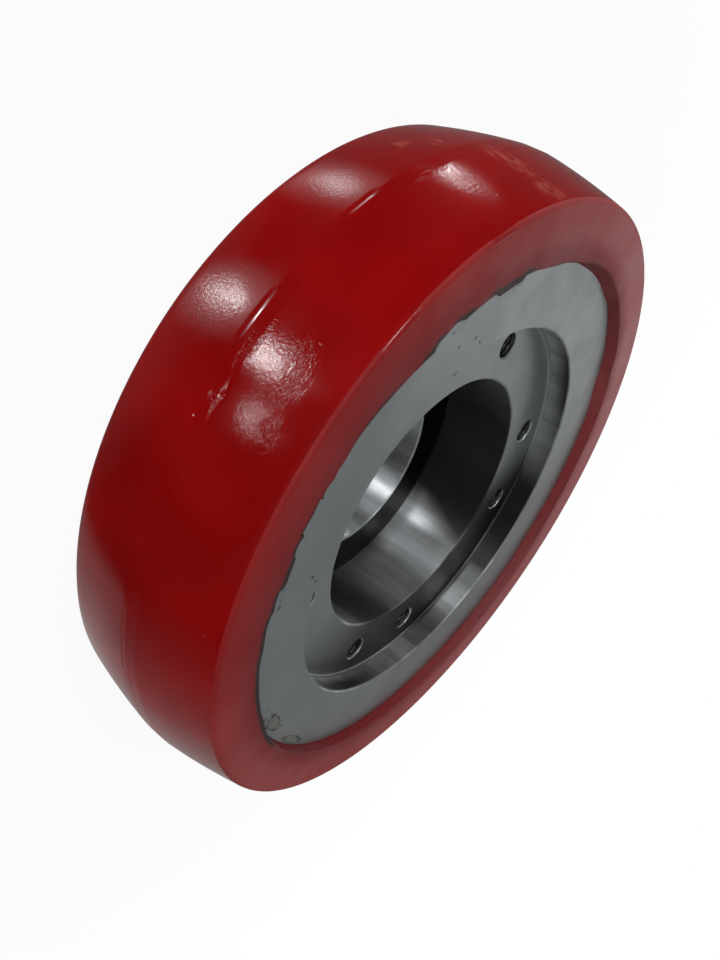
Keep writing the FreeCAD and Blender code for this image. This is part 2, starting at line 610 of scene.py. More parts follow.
def turning_tree() -> bpy.types.NodeTree:
    """Builds the node tree that turns a closed profile about the axis.

    Returns:
        The tree, with inputs for the number of segments, the number of rows and the material.
    """
    sheet, given = new_tree("turned profile", {"Segments": "Int", "Rows": "Int", "Material": "Material"})
    columns = sheet.math("ADD", given["Segments"], 1.0)
    lines = sheet.math("ADD", given["Rows"], 1.0)
    grid = sheet.add("GeometryNodeMeshGrid", Vertices_X=columns, Vertices_Y=lines).outputs["Mesh"]
    index = sheet.add("GeometryNodeInputIndex").outputs["Index"]
    column = sheet.math("FLOOR", sheet.math("DIVIDE", sheet.math("ADD", index, 0.5), lines))
    row = sheet.math("SUBTRACT", index, sheet.math("MULTIPLY", column, lines))
    row = sheet.math("FLOOR", sheet.math("ADD", sheet.math("MODULO", row, given["Rows"]), 0.5))
    position = sheet.add("GeometryNodeInputPosition").outputs["Position"]
    sample = sheet.add(
        "GeometryNodeSampleIndex",
        {"data_type": "FLOAT_VECTOR"},
        Geometry=given["Geometry"],
        Value=position,
        Index=row,
    )
    profile = sheet.add("ShaderNodeSeparateXYZ", Vector=sample.outputs["Value"]).outputs
    angle = sheet.math("MULTIPLY", sheet.math("DIVIDE", column, given["Segments"]), math.tau)
    place = sheet.on_circle(profile["X"], angle, profile["Z"])
    turned = sheet.add("GeometryNodeSetPosition", Geometry=grid, Position=place).outputs["Geometry"]
    closed = sheet.add("GeometryNodeMergeByDistance", Geometry=turned, Distance=WELD).outputs["Geometry"]
    smooth = sheet.add("GeometryNodeSetShadeSmooth", Geometry=closed).outputs["Geometry"]
    return end_tree(sheet, smooth, given["Material"])


def pairs_tree() -> bpy.types.NodeTree:
    """Builds the node tree that repeats a shape in pairs round the axis.

    Returns:
        The tree, with inputs for the pairs, the angle in a pair, the circle's radius, and the material.
    """
    sockets = {"Pairs": "Int", "Spread": "Float", "Radius": "Float", "Material": "Material"}
    sheet, given = new_tree("pairs on a circle", sockets)
    points = sheet.add("GeometryNodePoints", Count=sheet.math("MULTIPLY", given["Pairs"], 2.0))
    index = sheet.add("GeometryNodeInputIndex").outputs["Index"]
    pair = sheet.math("FLOOR", sheet.math("MULTIPLY", index, 0.5))
    hand = sheet.math("SUBTRACT", sheet.math("SUBTRACT", index, sheet.math("MULTIPLY", pair, 2.0)), 0.5)
    pair_angle = sheet.math("MULTIPLY", sheet.math("DIVIDE", pair, given["Pairs"]), math.tau)
    angle = sheet.math("MULTIPLY_ADD", hand, given["Spread"], pair_angle)
    place = sheet.on_circle(given["Radius"], angle)
    set_out = sheet.add("GeometryNodeSetPosition", Geometry=points.outputs["Geometry"], Position=place)
    turn = sheet.add("ShaderNodeCombineXYZ", Z=angle)
    copies = sheet.add(
        "GeometryNodeInstanceOnPoints",
        Points=set_out.outputs["Geometry"],
        Instance=given["Geometry"],
        Rotation=turn.outputs["Vector"],
    )
    return end_tree(sheet, copies.outputs["Instances"], given["Material"])


def new_object(name: str, mesh: bpy.types.Mesh) -> bpy.types.Object:
    """An object for the mesh at the origin, in the scene."""
    made = bpy.data.objects.new(name, mesh)
    bpy.context.scene.collection.objects.link(made)
    return made


def settle(source: bpy.types.Object, name: str) -> bpy.types.Mesh:
    """Turns an object with its modifiers into a plain mesh and removes the object.

    Args:
        source: The object to evaluate.
        name: Name of the mesh.

    Returns:
        The evaluated mesh.
    """
    depsgraph = bpy.context.evaluated_depsgraph_get()
    mesh = bpy.data.meshes.new_from_object(source.evaluated_get(depsgraph))
    mesh.name = name
    bpy.data.objects.remove(source)
    return mesh


def grown(
    mesh: bpy.types.Mesh, tree: bpy.types.NodeTree, name: str, inputs: dict[str, object]
) -> bpy.types.Mesh:
    """Runs a mesh through a geometry tree.

    Args:
        mesh: The mesh that the tree starts from.
        tree: The geometry tree.
        name: Name of the result.
        inputs: Value of each of the tree's inputs by name.

    Returns:
        The result as a plain mesh.
    """
    source = new_object(name, mesh)
    modifier = source.modifiers.new(tree.name, "NODES")
    modifier.node_group = tree
    for item in tree.interface.items_tree:
        if item.in_out == "INPUT" and item.name in inputs:
            modifier[item.identifier] = inputs[item.name]
    return settle(source, name)


@dataclass
class Cloud:
    """The points of a mesh by angle round the axis, radius and height, ready to be moved."""

    mesh: bpy.types.Mesh

    def __post_init__(self) -> None:
        """Reads the points."""
        flat = np.empty(len(self.mesh.vertices) * 3)
        self.mesh.vertices.foreach_get("co", flat)
        self.place = flat.reshape(-1, 3)
        self.angle = np.degrees(np.arctan2(self.place[:, 1], self.place[:, 0]))
        self.radius = np.hypot(self.place[:, 0], self.place[:, 1])
        self.height = self.place[:, 2].copy()

    def write(self) -> None:
        """Puts the moved points back."""
        turn = np.radians(self.angle)
        moved = np.column_stack((self.radius * np.cos(turn), self.radius * np.sin(turn), self.height))
        self.mesh.vertices.foreach_set("co", moved.ravel())
        self.mesh.update()

    def store(self, attribute: Attribute, values: np.ndarray) -> None:
        """Keeps a number for each point in the mesh."""
        layer = self.mesh.attributes.new(attribute.value, "FLOAT", "POINT")
        layer.data.foreach_set("value", values.astype(np.float32))


@dataclass(frozen=True)
class Patch:
    """A soft-edged patch of a turned surface, placed by its angle and by its height or radius.

    The height or radius, and half of the patch's reach along it, are in millimetres.
    """

    angle: float
    across: float
    half_angle: float
    half_across: float
    amount: float = 1.0

    def weight(self, angle: Measure, across: Measure) -> Measure:
        """The patch's amount at the given places, fading to nothing at its edge."""
        turn = (angle - self.angle + 180.0) % 360.0 - 180.0
        reach = np.hypot(turn / self.half_angle, (across / MM - self.across) / self.half_across)
        fade = np.clip(1.0 - reach, 0.0, 1.0)
        return self.amount * fade * fade * (3.0 - 2.0 * fade)


def stretch(angle: float, half_angle: float, amount: float = 1.0) -> Patch:
    """A patch that is placed by its angle alone."""
    return Patch(angle, 0.0, half_angle, 1.0, amount)


def covered(patches: tuple[Patch, ...], angle: Measure, across: Measure = 0.0) -> Measure:
    """How much of a group of patches covers each place, from 0 to 1."""
    return np.clip(sum(patch.weight(angle, across) for patch in patches), 0.0, 1.0)


@dataclass(frozen=True)
class Ripple:
    """Smooth waves round the axis, drawn from a fixed seed.

    Each wave has fewer than most_crests crests round the axis, and its phase makes up to most_turns turns
    in a metre of height.
    """

    seed: int
    waves: int
    most_crests: int
    size: float
    most_turns: float = 0.0

    def at(self, cloud: Cloud) -> np.ndarray:
        """The sum of the waves at each point, no further from nothing than their size."""
        draw = np.random.default_rng(self.seed)
        total = np.zeros_like(cloud.angle)
        for _ in range(self.waves):
            crests = draw.integers(2, self.most_crests)
            start = draw.uniform(0.0, math.tau)
            lean = math.tau * draw.uniform(-self.most_turns, self.most_turns)
            total += np.sin(np.radians(cloud.angle) * crests + start + lean * cloud.height)
        return self.size * total / self.waves


# Pieces


@dataclass
class Tread:
    """The cast tread: two bulged flanks, the parting band between them, and a hand-trimmed lip."""

    outer: float
    inner: float
    width: float
    hub_bottom: float
    hub_top: float
    skin_clear: float = 0.06 * MM
    end_radius: float = 97.2 * MM
    bulge: float = 0.4 * MM
    edge_break: float = 1.0 * MM
    band_half_width: float = 2.2 * MM
    seam_reach: float = 1.6 * MM
    flash_width: float = 1.0 * MM
    flash_height: float = 0.055 * MM
    flash_groove: float = 0.15 * MM
    lip_round: float = 0.6 * MM
    lip_pull: float = 4.0 * MM
    wall_clear: float = 0.06 * MM
    sharp_angle: float = 40.0
    segments: int = 1080
    # Rows of the moulded skin between the far edge, the four sides of the two seams, and the near edge
    skin_rows: tuple[int, ...] = (10, 11, 4, 11, 10)
    # Waves are given by seed, number, crests, size and turns of phase
    flank_waves: Ripple = Ripple(23, 12, 30, 0.05 * MM, 60.0)
    far_flash_waves: Ripple = Ripple(31, 7, 240, 0.25)
    near_flash_waves: Ripple = Ripple(37, 7, 240, 0.25)
    edge_waves: Ripple = Ripple(41, 9, 360, 0.04 * MM)
    knife_waves: Ripple = Ripple(11, 9, 260, 0.10 * MM)
    # How far the lip's edge and its foot stand out from the hub's rim, in millimetres by angle
    lip_top: tuple[Point, ...] = (
        (-180.0, 0.8), (-110.0, 1.4), (-85.0, 2.4), (-76.0, 2.7), (-69.0, 2.2), (-64.0, 1.6), (-59.0, 2.3),
        (-51.0, 1.8), (-32.0, 1.2), (-23.0, 0.9), (-16.0, 0.0), (-11.0, -1.0), (-3.0, -1.1), (1.0, -1.6),
        (5.0, -1.4), (8.6, -0.8), (11.5, -0.9), (12.2, -2.0), (18.8, -2.4), (20.0, -0.8), (28.0, -0.9),
        (29.3, 0.2), (30.6, 0.7), (33.6, 0.0), (35.2, -0.1), (36.0, -1.7), (38.0, -1.4), (42.0, -0.6),
        (47.0, 0.3), (49.3, 0.9), (54.2, 1.6), (58.6, 0.9), (60.0, 1.2), (61.5, 0.6), (63.1, 1.4),
        (64.5, 1.0), (65.4, -0.4), (68.0, -0.9), (71.2, -0.5), (72.1, 0.4), (73.6, 0.7), (75.2, 0.1),
        (75.8, -1.1), (80.3, -1.6), (81.6, -1.3), (81.9, 0.1), (83.8, 0.1), (86.2, -0.6), (87.3, 0.2),
        (89.8, 0.4), (92.0, 0.0), (94.5, -0.4), (98.4, -0.1), (104.0, -0.6), (118.0, -0.8), (122.0, -0.2),
        (135.0, 0.6), (180.0, 0.8),
    )
    lip_foot: tuple[Point, ...] = (
        (-180.0, 0.3), (-90.0, 0.6), (-77.0, -0.1), (-72.0, -1.5), (-67.5, -2.0), (-63.5, 0.2),
        (-43.0, 0.2), (-36.0, -1.1), (-17.0, -1.7), (10.0, -1.0), (30.0, 0.0), (100.0, 0.0), (120.0, -0.5),
        (135.0, 0.3), (180.0, 0.3),
    )
    ledge_angle: float = 68.4
    ledge_half_angle: float = 3.2
    ledge_width: float = 2.2 * MM
    ledge_drop: float = 0.9 * MM
    # Painted shade on the lip: the shares of its height where its foot ends and its edge begins, and the
    # amounts
    foot_end: float = 0.2
    edge_start: float = 0.7
    foot_shade: float = 0.8
    wall_shade: float = 0.2
    least_shade: float = 0.35
    # Stretches are given by angle, half angle and amount
    shaded_lip: tuple[Patch, ...] = (
        stretch(78.5, 10.0, 1.4),
        stretch(68.4, 7.0),
        stretch(92.0, 12.0, 1.4),
        stretch(106.0, 16.0, 0.7),
        stretch(122.0, 12.0, 0.7),
        stretch(35.8, 4.0, 1.2),
        stretch(28.0, 4.0, 1.2),
        stretch(15.5, 9.0, 1.4),
        stretch(50.0, 10.0, 0.6),
    )
    edge_glints: tuple[Patch, ...] = (stretch(41.0, 6.0, 1.5), stretch(20.5, 4.0, 1.5))
    far_flash: tuple[Patch, ...] = (
        stretch(29.6, 4.6, 1.4),
        stretch(49.5, 5.4, 1.4),
        stretch(100.0, 20.0, 0.5),
    )
    near_flash: tuple[Patch, ...] = (
        stretch(58.5, 3.5, 1.0),
        stretch(62.0, 3.0, 1.0),
        stretch(20.5, 2.5, 0.8),
    )
    # Patches are given by angle, height, half angle, half height and amount, which is a chip's depth in
    # millimetres
    chips: tuple[Patch, ...] = (
        Patch(60.2, 25.3, 1.0, 0.8, 0.25),
        Patch(63.3, 24.2, 0.8, 0.7, 0.22),
        Patch(59.5, 28.2, 1.0, 0.9, 0.22),
    )
    scales: tuple[Patch, ...] = (
        Patch(50.6, 38.2, 5.0, 4.4, 1.5),
        Patch(54.6, 39.4, 4.5, 4.0, 1.5),
        Patch(60.6, 40.8, 3.5, 3.6, 1.4),
        Patch(16.8, 34.0, 4.0, 9.0, 0.35),
        Patch(6.6, 44.6, 1.2, 3.0, 1.5),
    )
    ragged: tuple[Patch, ...] = (
        Patch(52.0, 28.2, 6.0, 1.2, 0.5),
        Patch(60.5, 26.6, 2.2, 1.8, 1.0),
        Patch(17.6, 28.2, 2.2, 1.4, 0.8),
        Patch(53.5, 26.0, 5.0, 1.6, 0.7),
    )
    grit: tuple[Patch, ...] = (
        Patch(49.8, 10.4, 9.0, 16.0, 1.5),
        Patch(52.0, 33.0, 8.0, 10.0, 1.5),
        Patch(59.8, 37.0, 6.0, 9.0, 1.5),
        Patch(28.0, 12.0, 7.0, 14.0, 1.6),
        Patch(17.0, 33.0, 6.0, 12.0, 0.7),
    )
    # Chalk and painted sheen on the end face, strongest on one side
    chalk_and_sheen: tuple[Patch, ...] = (
        stretch(-58.0, 84.0, 0.95),
        stretch(5.0, 40.0, 0.12),
        stretch(-140.0, 70.0, 0.6),
        stretch(140.0, 50.0, 0.35),
    )
    # Pale streaks of dust and painted sheen on the flanks
    dust_and_sheen: tuple[Patch, ...] = (
        Patch(5.6, 30.5, 3.2, 6.5, 1.3),
        Patch(5.2, 37.0, 2.8, 6.5, 1.1),
        Patch(5.6, 46.0, 3.0, 4.5, 2.4),
        Patch(14.5, 12.8, 2.6, 3.2, 1.3),
        Patch(10.5, 18.5, 2.2, 3.8, 1.0),
    )

    @property
    def middle(self) -> float:
        """Height of the parting plane."""
        return self.width / 2.0

    @property
    def seams(self) -> tuple[float, float]:
        """Heights of the far and the near edge of the parting band."""
        return self.middle - self.band_half_width, self.middle + self.band_half_width

    def skin(self, height: float) -> float:
        """Radius of the moulded skin at a height."""
        away = abs(height - self.middle) - self.band_half_width
        share = max(0.0, away / (self.middle - self.band_half_width))
        chord = self.outer + (self.end_radius - self.outer) * share
        return chord + 4.0 * self.bulge * share * (1.0 - share)

    def heights(self) -> np.ndarray:
        """Heights of the rows of the moulded skin, close together along the two seams."""
        far, near = self.seams
        reach = self.seam_reach
        first, last = self.edge_break, self.width - self.edge_break
        stops = (first, far - reach, far + reach, near - reach, near + reach, last)
        spans = zip(stops, stops[1:], self.skin_rows)
        rows = [np.linspace(low, high, count, endpoint=False) for low, high, count in spans]
        return np.append(np.concatenate(rows), last)

    def outline(self) -> Outline:
        """The section of the tread."""
        rim = self.end_radius - self.edge_break
        foot = self.inner + self.wall_clear
        heights = self.heights()
        shape = Outline()
        shape.start((self.inner, 0.0))
        shape.run((rim, 0.0), steps=6)
        shape.bend((self.end_radius, 0.0), (self.skin(heights[0]), heights[0]), steps=5)
        for height in heights[1:]:
            shape.run((self.skin(height), height))
        shape.bend((self.end_radius, self.width), (rim, self.width), steps=5)
        shape.run((foot + self.lip_pull, self.width), steps=8)
        shape.run((foot + self.lip_round, self.width), steps=6)
        shape.bend((foot, self.width), (foot, self.width - self.lip_round), steps=4)
        shape.run((foot, self.hub_top), steps=5)
        shape.run((self.inner, self.hub_top))
        shape.run((self.inner, self.hub_bottom), steps=2)
        return shape

    def on_near_lip(self, cloud: Cloud) -> np.ndarray:
        """Which points belong to the near end face or to the lip's wall."""
        clear = 0.5 * self.wall_clear
        return (cloud.height > self.hub_top - clear) & (cloud.radius > self.inner + clear)

    def rise(self, cloud: Cloud) -> np.ndarray:
        """How high each point is on the near lip, from 0 at the steel to 1 at the end face."""
        return np.clip((cloud.height - self.hub_top) / (self.width - self.hub_top), 0.0, 1.0)

    def trim_lip(self, cloud: Cloud) -> None:
        """Moves the near lip's edge and foot where the knife went, and steps the lip down at the ledge."""
        on_lip = self.on_near_lip(cloud)
        rise = self.rise(cloud)
        top = np.interp(cloud.angle, *np.array(self.lip_top).T)
        foot = np.interp(cloud.angle, *np.array(self.lip_foot).T)
        shift = MM * (foot + (top - foot) * rise) + self.knife_waves.at(cloud)
        reach = np.clip(1.0 - (cloud.radius - self.inner) / self.lip_pull, 0.0, 1.0)
        low = np.abs(cloud.angle - self.ledge_angle) < self.ledge_half_angle
        on_ledge = on_lip & low & (cloud.radius < self.inner + self.ledge_width)
        cloud.radius += np.where(on_lip, shift * reach, 0.0)
        cloud.height -= np.where(on_ledge, self.ledge_drop * rise, 0.0)

    def shade_lip(self, cloud: Cloud) -> np.ndarray:
        """How much painted shade each point takes: dark along the lip's edge and at its foot."""
        edge = np.clip(1.0 - (cloud.radius - self.inner - 2.0 * self.lip_round) / MM, 0.0, 1.0)
        rise = self.rise(cloud)
        below = np.where(rise < self.foot_end, self.foot_shade, self.wall_shade)
        settled = np.where(rise > self.edge_start, edge, below)
        along = covered(self.shaded_lip, cloud.angle)
        share = self.least_shade + (1.0 - self.least_shade) * along
        return np.where(self.on_near_lip(cloud), settled * share, 0.0)

    def rub_edges(self, cloud: Cloud) -> np.ndarray:
        """How dull each point is rubbed: along the rounded edges, but for a few glossy places."""
        from_end = np.minimum(cloud.height, self.width - cloud.height)
        near_end = from_end < 0.8 * self.edge_break
        near_skin = cloud.radius > self.end_radius - 1.2 * self.edge_break
        glossy = covered(self.edge_glints, cloud.angle)
        return np.where(near_end & near_skin, 1.0 - glossy, 0.0)

    def wear(self, cloud: Cloud) -> None:
        """Raises flash along the seams, chips it, and lets the moulded flanks wander a little."""
        skin = cloud.radius > self.end_radius - 0.5 * self.edge_break
        change = self.flank_waves.at(cloud) - self.flank_waves.size
        far_seam, near_seam = self.seams
        sides = (
            (1.0, far_seam, self.far_flash, self.far_flash_waves),
            (-1.0, near_seam, self.near_flash, self.near_flash_waves),
        )
        for inwards, seam, places, waves in sides:
            off = inwards * (cloud.height - seam) / self.flash_width
            crest = np.clip(1.0 - np.abs(off - 1.0), 0.0, 1.0)
            groove = np.clip(1.0 - np.abs(off), 0.0, 1.0)
            left = np.clip(covered(places, cloud.angle) + waves.at(cloud), 0.0, 1.0)
            change += left * (self.flash_height * crest - self.flash_groove * groove)
        on_edge = cloud.height > self.width - self.edge_break
        change += np.where(on_edge, self.edge_waves.at(cloud), 0.0)
        change -= MM * sum(chip.weight(cloud.angle, cloud.height) for chip in self.chips)
        cloud.radius += np.where(skin, change, 0.0)

    def build(self, tree: bpy.types.NodeTree) -> bpy.types.Object:
        """Makes the tread.

        Args:
            tree: The tree that turns a profile.

        Returns:
            The finished piece.
        """
        moulded = MouldedRed().material()
        shape = self.outline()
        inputs = {"Segments": self.segments, "Rows": len(shape.points), "Material": moulded}
        mesh = grown(shape.mesh("tread section"), tree, "tread", inputs)
        cloud = Cloud(mesh)
        marks = {
            Attribute.SCALES: self.scales,
            Attribute.RAGGED: self.ragged,
            Attribute.GRIT: self.grit,
            Attribute.DUST_AND_SHEEN: self.dust_and_sheen,
        }
        for attribute, patches in marks.items():
            cloud.store(attribute, covered(patches, cloud.angle, cloud.height))
        cloud.store(Attribute.RUBBED, self.rub_edges(cloud))
        cloud.store(Attribute.LIP_SHADE, self.shade_lip(cloud))
        cloud.store(Attribute.CHALK_AND_SHEEN, covered(self.chalk_and_sheen, cloud.angle))
        self.trim_lip(cloud)
        self.wear(cloud)
        cloud.write()
        self.dress(mesh, moulded)
        return new_object("tread_cast", mesh)

    def dress(self, mesh: bpy.types.Mesh, moulded: bpy.types.Material) -> None:
        """Gives the flanks the moulded finish, and the flat ends and the lip the cut one."""
        mesh.materials.clear()
        mesh.materials.append(moulded)
        mesh.materials.append(CutRed().material())
        for face in mesh.polygons:
            inside = math.hypot(face.center.x, face.center.y) < self.end_radius - self.edge_break
            on_edge = face.center.z > self.width - self.edge_break
            turn = math.degrees(math.atan2(face.center.y, face.center.x))
            dull = on_edge and covered(self.edge_glints, turn) < 0.5
            face.material_index = Skin.CUT if inside or dull else Skin.MOULDED
            face.use_smooth = True
        mesh.set_sharp_from_angle(angle=math.radians(self.sharp_angle))


@dataclass
class Hub:
    """The turned hub with its cover recess, bearing seat, shoulder, bore and tapped holes."""

    outer: float
    bottom: float
    top: float
    recess: float
    floor: float
    seat: float
    shoulder: float
    bore: float
    hole_circle: float
    hole_radius: float
    pair_spread: float
    pairs: int = 4
    edge_break: float = 0.5 * MM
    recess_corner: float = 1.0 * MM
    touch: float = 0.1 * MM
    sharp_angle: float = 25.0
    segments: int = 480
    thread_radius: float = 4.0 * MM
    thread_pitch: float = 1.25 * MM
    thread_depth: float = 15.0 * MM
    hole_depth: float = 20.0 * MM
    tap_rise: float = 2.0 * MM
    mouth_radius: float = 4.3 * MM
    hole_sides: int = 28
    rows_in_pitch: int = 6
    point_half_angle: float = 59.0
    # How far up a face's normal points: a level face has the first at least, and one in the recess's corner
    # lies between the two limits
    level_from: float = 0.9
    corner_limits: Point = (0.02, 0.98)
    # Stains and smears are given by angle, radius, half angle, half of their radial reach, and amount; the
    # stain at -34 degrees, along the lip's foot, is painted shade
    stains_and_shade: tuple[Patch, ...] = (
        Patch(11.0, 77.5, 6.0, 2.0, 0.9),
        Patch(33.4, 76.5, 2.0, 1.5, 0.9),
        Patch(25.0, 77.3, 1.5, 1.2, 0.9),
        Patch(-34.0, 80.8, 9.0, 1.6, 0.8),
        Patch(84.0, 76.0, 6.0, 1.2, 0.7),
    )
    smears: tuple[Patch, ...] = (
        Patch(127.0, 78.3, 8.0, 3.6),
        Patch(141.0, 80.0, 8.0, 2.6),
    )
    # Painted shade: darker steel on the recess floor, the bearing seat and the recess wall, placed by angle
    # and height
    floor_shade: tuple[Patch, ...] = (stretch(195.0, 85.0, 1.3), stretch(-108.0, 24.0, 0.7))
    seat_shade: tuple[Patch, ...] = (
        Patch(-98.0, 28.0, 40.0, 90.0, 1.6),
        Patch(-62.0, 28.0, 40.0, 90.0, 0.9),
        Patch(-190.0, 28.0, 30.0, 90.0, 0.8),
        Patch(-124.0, 44.0, 26.0, 26.0, 0.7),
        Patch(-150.0, 14.0, 18.0, 8.0, 0.9),
    )
    recess_shade: tuple[Patch, ...] = (
        Patch(-109.0, 44.0, 32.0, 40.0, 1.4),
        Patch(-124.0, 44.0, 13.0, 40.0, 0.8),
        Patch(-155.0, 44.0, 10.0, 40.0, 0.6),
        Patch(155.0, 46.0, 30.0, 6.0, 1.2),
        Patch(-54.0, 49.0, 46.0, 8.0, 1.2),
        Patch(-130.0, 40.2, 50.0, 1.6, 2.0),
    )

    def outline(self) -> Outline:
        """The section of the hub."""
        edge = self.edge_break
        corner = self.recess_corner
        shape = Outline()
        shape.start((self.outer, self.bottom))
        shape.run((self.outer, self.top - edge), steps=3)
        shape.run((self.outer - 0.6 * edge, self.top))
        shape.run((self.recess + edge, self.top), steps=36)
        shape.run((self.recess, self.top - edge))
        shape.run((self.recess, self.floor + corner), steps=6)
        shape.bend((self.recess, self.floor), (self.recess - corner, self.floor), steps=4)
        shape.run((self.seat + edge, self.floor), steps=16)
        shape.run((self.seat, self.floor - edge))
        shape.run((self.seat, self.shoulder), steps=16)
        shape.run((self.bore + edge, self.shoulder), steps=6)
        shape.run((self.bore, self.shoulder - edge))
        shape.run((self.bore, self.bottom + edge), steps=6)
        shape.run((self.bore + edge, self.bottom))
        shape.run((self.outer - edge, self.bottom), steps=16)
        return shape

    def tap_radius(self, height: float, turn: float) -> float:
        """Radius of a tapped hole at a height above the floor and a share of a turn."""
        fade = min(max((self.thread_depth + height) / (2.0 * self.thread_pitch), 0.0), 1.0)
        phase = (height / self.thread_pitch - turn) % 1.0
        ridge = 1.0 - abs(2.0 * phase - 1.0)
        thread = self.hole_radius + fade * ridge * (self.thread_radius - self.hole_radius)
        return max(thread, self.mouth_radius + min(height, 0.0))

    def tap(self) -> bpy.types.Mesh:
        """The shape that one tapped hole takes out: mouth, thread, plain drill and drill point."""
        sides = self.hole_sides
        count = int(self.hole_depth / self.thread_pitch * self.rows_in_pitch)
        heights = [self.tap_rise]
        heights += [-row * self.thread_pitch / self.rows_in_pitch for row in range(count + 1)]
        points = []
        for height in heights:
            for side in range(sides):
                turn = side / sides
                radius = self.tap_radius(height, turn)
                angle = turn * math.tau
                points.append((radius * math.cos(angle), radius * math.sin(angle), self.floor + height))
        faces = [tuple(range(sides))]
        for row in range(len(heights) - 1):
            for side in range(sides):
                here = row * sides + side
                beside = row * sides + (side + 1) % sides
                faces.append((here, here + sides, beside + sides, beside))
        last = (len(heights) - 1) * sides
        point_drop = self.hole_radius / math.tan(math.radians(self.point_half_angle))
        points.append((0.0, 0.0, self.floor + heights[-1] - point_drop))
        for side in range(sides):
            faces.append((last + side, len(points) - 1, last + (side + 1) % sides))
        mesh = bpy.data.meshes.new("tap")
        mesh.from_pydata(points, [], faces)
        return mesh

    def build(self, turning: bpy.types.NodeTree, pairing: bpy.types.NodeTree) -> bpy.types.Object:
        """Makes the hub.

        Args:
            turning: The tree that turns a profile.
            pairing: The tree that repeats a shape in pairs round the axis.

        Returns:
            The finished piece.
        """
        kinds = (FACED_STEEL, BORED_STEEL, SHOULDER_SHADE_STEEL, TAPPED_STEEL, CORNER_STEEL)
        finishes = [kind.material() for kind in kinds]
        shape = self.outline()
        inputs = {"Segments": self.segments, "Rows": len(shape.points), "Material": finishes[Turning.FACED]}
        body = new_object("hub body", grown(shape.mesh("hub section"), turning, "hub body", inputs))
        inputs = {
            "Pairs": self.pairs,
            "Spread": math.radians(self.pair_spread),
            "Radius": self.hole_circle,
            "Material": finishes[Turning.TAPPED],
        }
        taps = new_object("taps", grown(self.tap(), pairing, "taps", inputs))
        cut = body.modifiers.new("tapped holes", "BOOLEAN")
        cut.solver = "EXACT"
        cut.object = taps
        mesh = settle(body, "hub")
        bpy.data.objects.remove(taps)
        self.mark(Cloud(mesh))
        self.dress(mesh, finishes)
        return new_object("hub_turned", mesh)

    def mark(self, cloud: Cloud) -> None:
        """Stores the near face's stains, among them painted shade along the lip's foot, and its adhesive
        smears, and the painted shade on the recess floor, the bearing seat and the recess wall.
        """
        on_face = cloud.height > self.top - self.edge_break
        for attribute, patches in ((Attribute.STAIN_AND_SHADE, self.stains_and_shade), (Attribute.SMEAR, self.smears)):
            cloud.store(attribute, np.where(on_face, covered(patches, cloud.angle, cloud.radius), 0.0))
        level = np.abs(cloud.height - self.floor) < self.touch
        on_floor = level & (cloud.radius > self.seat + self.touch)
        on_seat = (cloud.height < self.floor) & (np.abs(cloud.radius - self.seat) < self.touch)
        painted_shade = np.where(on_floor, covered(self.floor_shade, cloud.angle), 0.0)
        painted_shade += np.where(on_seat, covered(self.seat_shade, cloud.angle, cloud.height), 0.0)
        from_wall = cloud.radius - self.recess
        on_wall = (from_wall > -0.9 * self.recess_corner) & (from_wall < 0.5 * self.edge_break)
        on_recess = on_wall & (cloud.height > self.floor)
        painted_shade += np.where(on_recess, covered(self.recess_shade, cloud.angle, cloud.height), 0.0)
        cloud.store(Attribute.PAINTED_SHADE, painted_shade)

    def turning_of(self, face: bpy.types.MeshPolygon) -> Turning:
        """The finish that a face takes from its place and its slant."""
        centre = face.center
        away = math.hypot(centre.x, centre.y)
        step = 360.0 / self.pairs
        turn = (math.degrees(math.atan2(centre.y, centre.x)) + step / 2.0) % step - step / 2.0
        off = math.radians(abs(turn) - self.pair_spread / 2.0)
        from_hole = math.hypot(away * math.cos(off) - self.hole_circle, away * math.sin(off))
        # Faces inside a tapped hole take the dark steel, painted shade
        if from_hole < self.mouth_radius and centre.z < self.floor - self.edge_break:
            return Turning.TAPPED
        # Faces in the recess's corner take the paler steel, a painted highlight
        in_corner = away > self.recess - self.recess_corner and centre.z < self.floor + self.recess_corner
        least, most = self.corner_limits
        if in_corner and least < face.normal.z < most:
            return Turning.CORNER
        if abs(face.normal.z) < self.level_from:
            return Turning.BORED
        # The shoulder takes the near-black steel, painted shade
        on_shoulder = self.bottom + self.edge_break < centre.z < self.floor - self.edge_break
        return Turning.SHOULDER_SHADE if on_shoulder else Turning.FACED

    def dress(self, mesh: bpy.types.Mesh, finishes: list[bpy.types.Material]) -> None:
        """Gives each face of the hub the finish of its turning."""
        mesh.materials.clear()
        for finish in finishes:
            mesh.materials.append(finish)
        for face in mesh.polygons:
            face.material_index = self.turning_of(face)
            face.use_smooth = True
        mesh.set_sharp_from_angle(angle=math.radians(self.sharp_angle))


# Studio


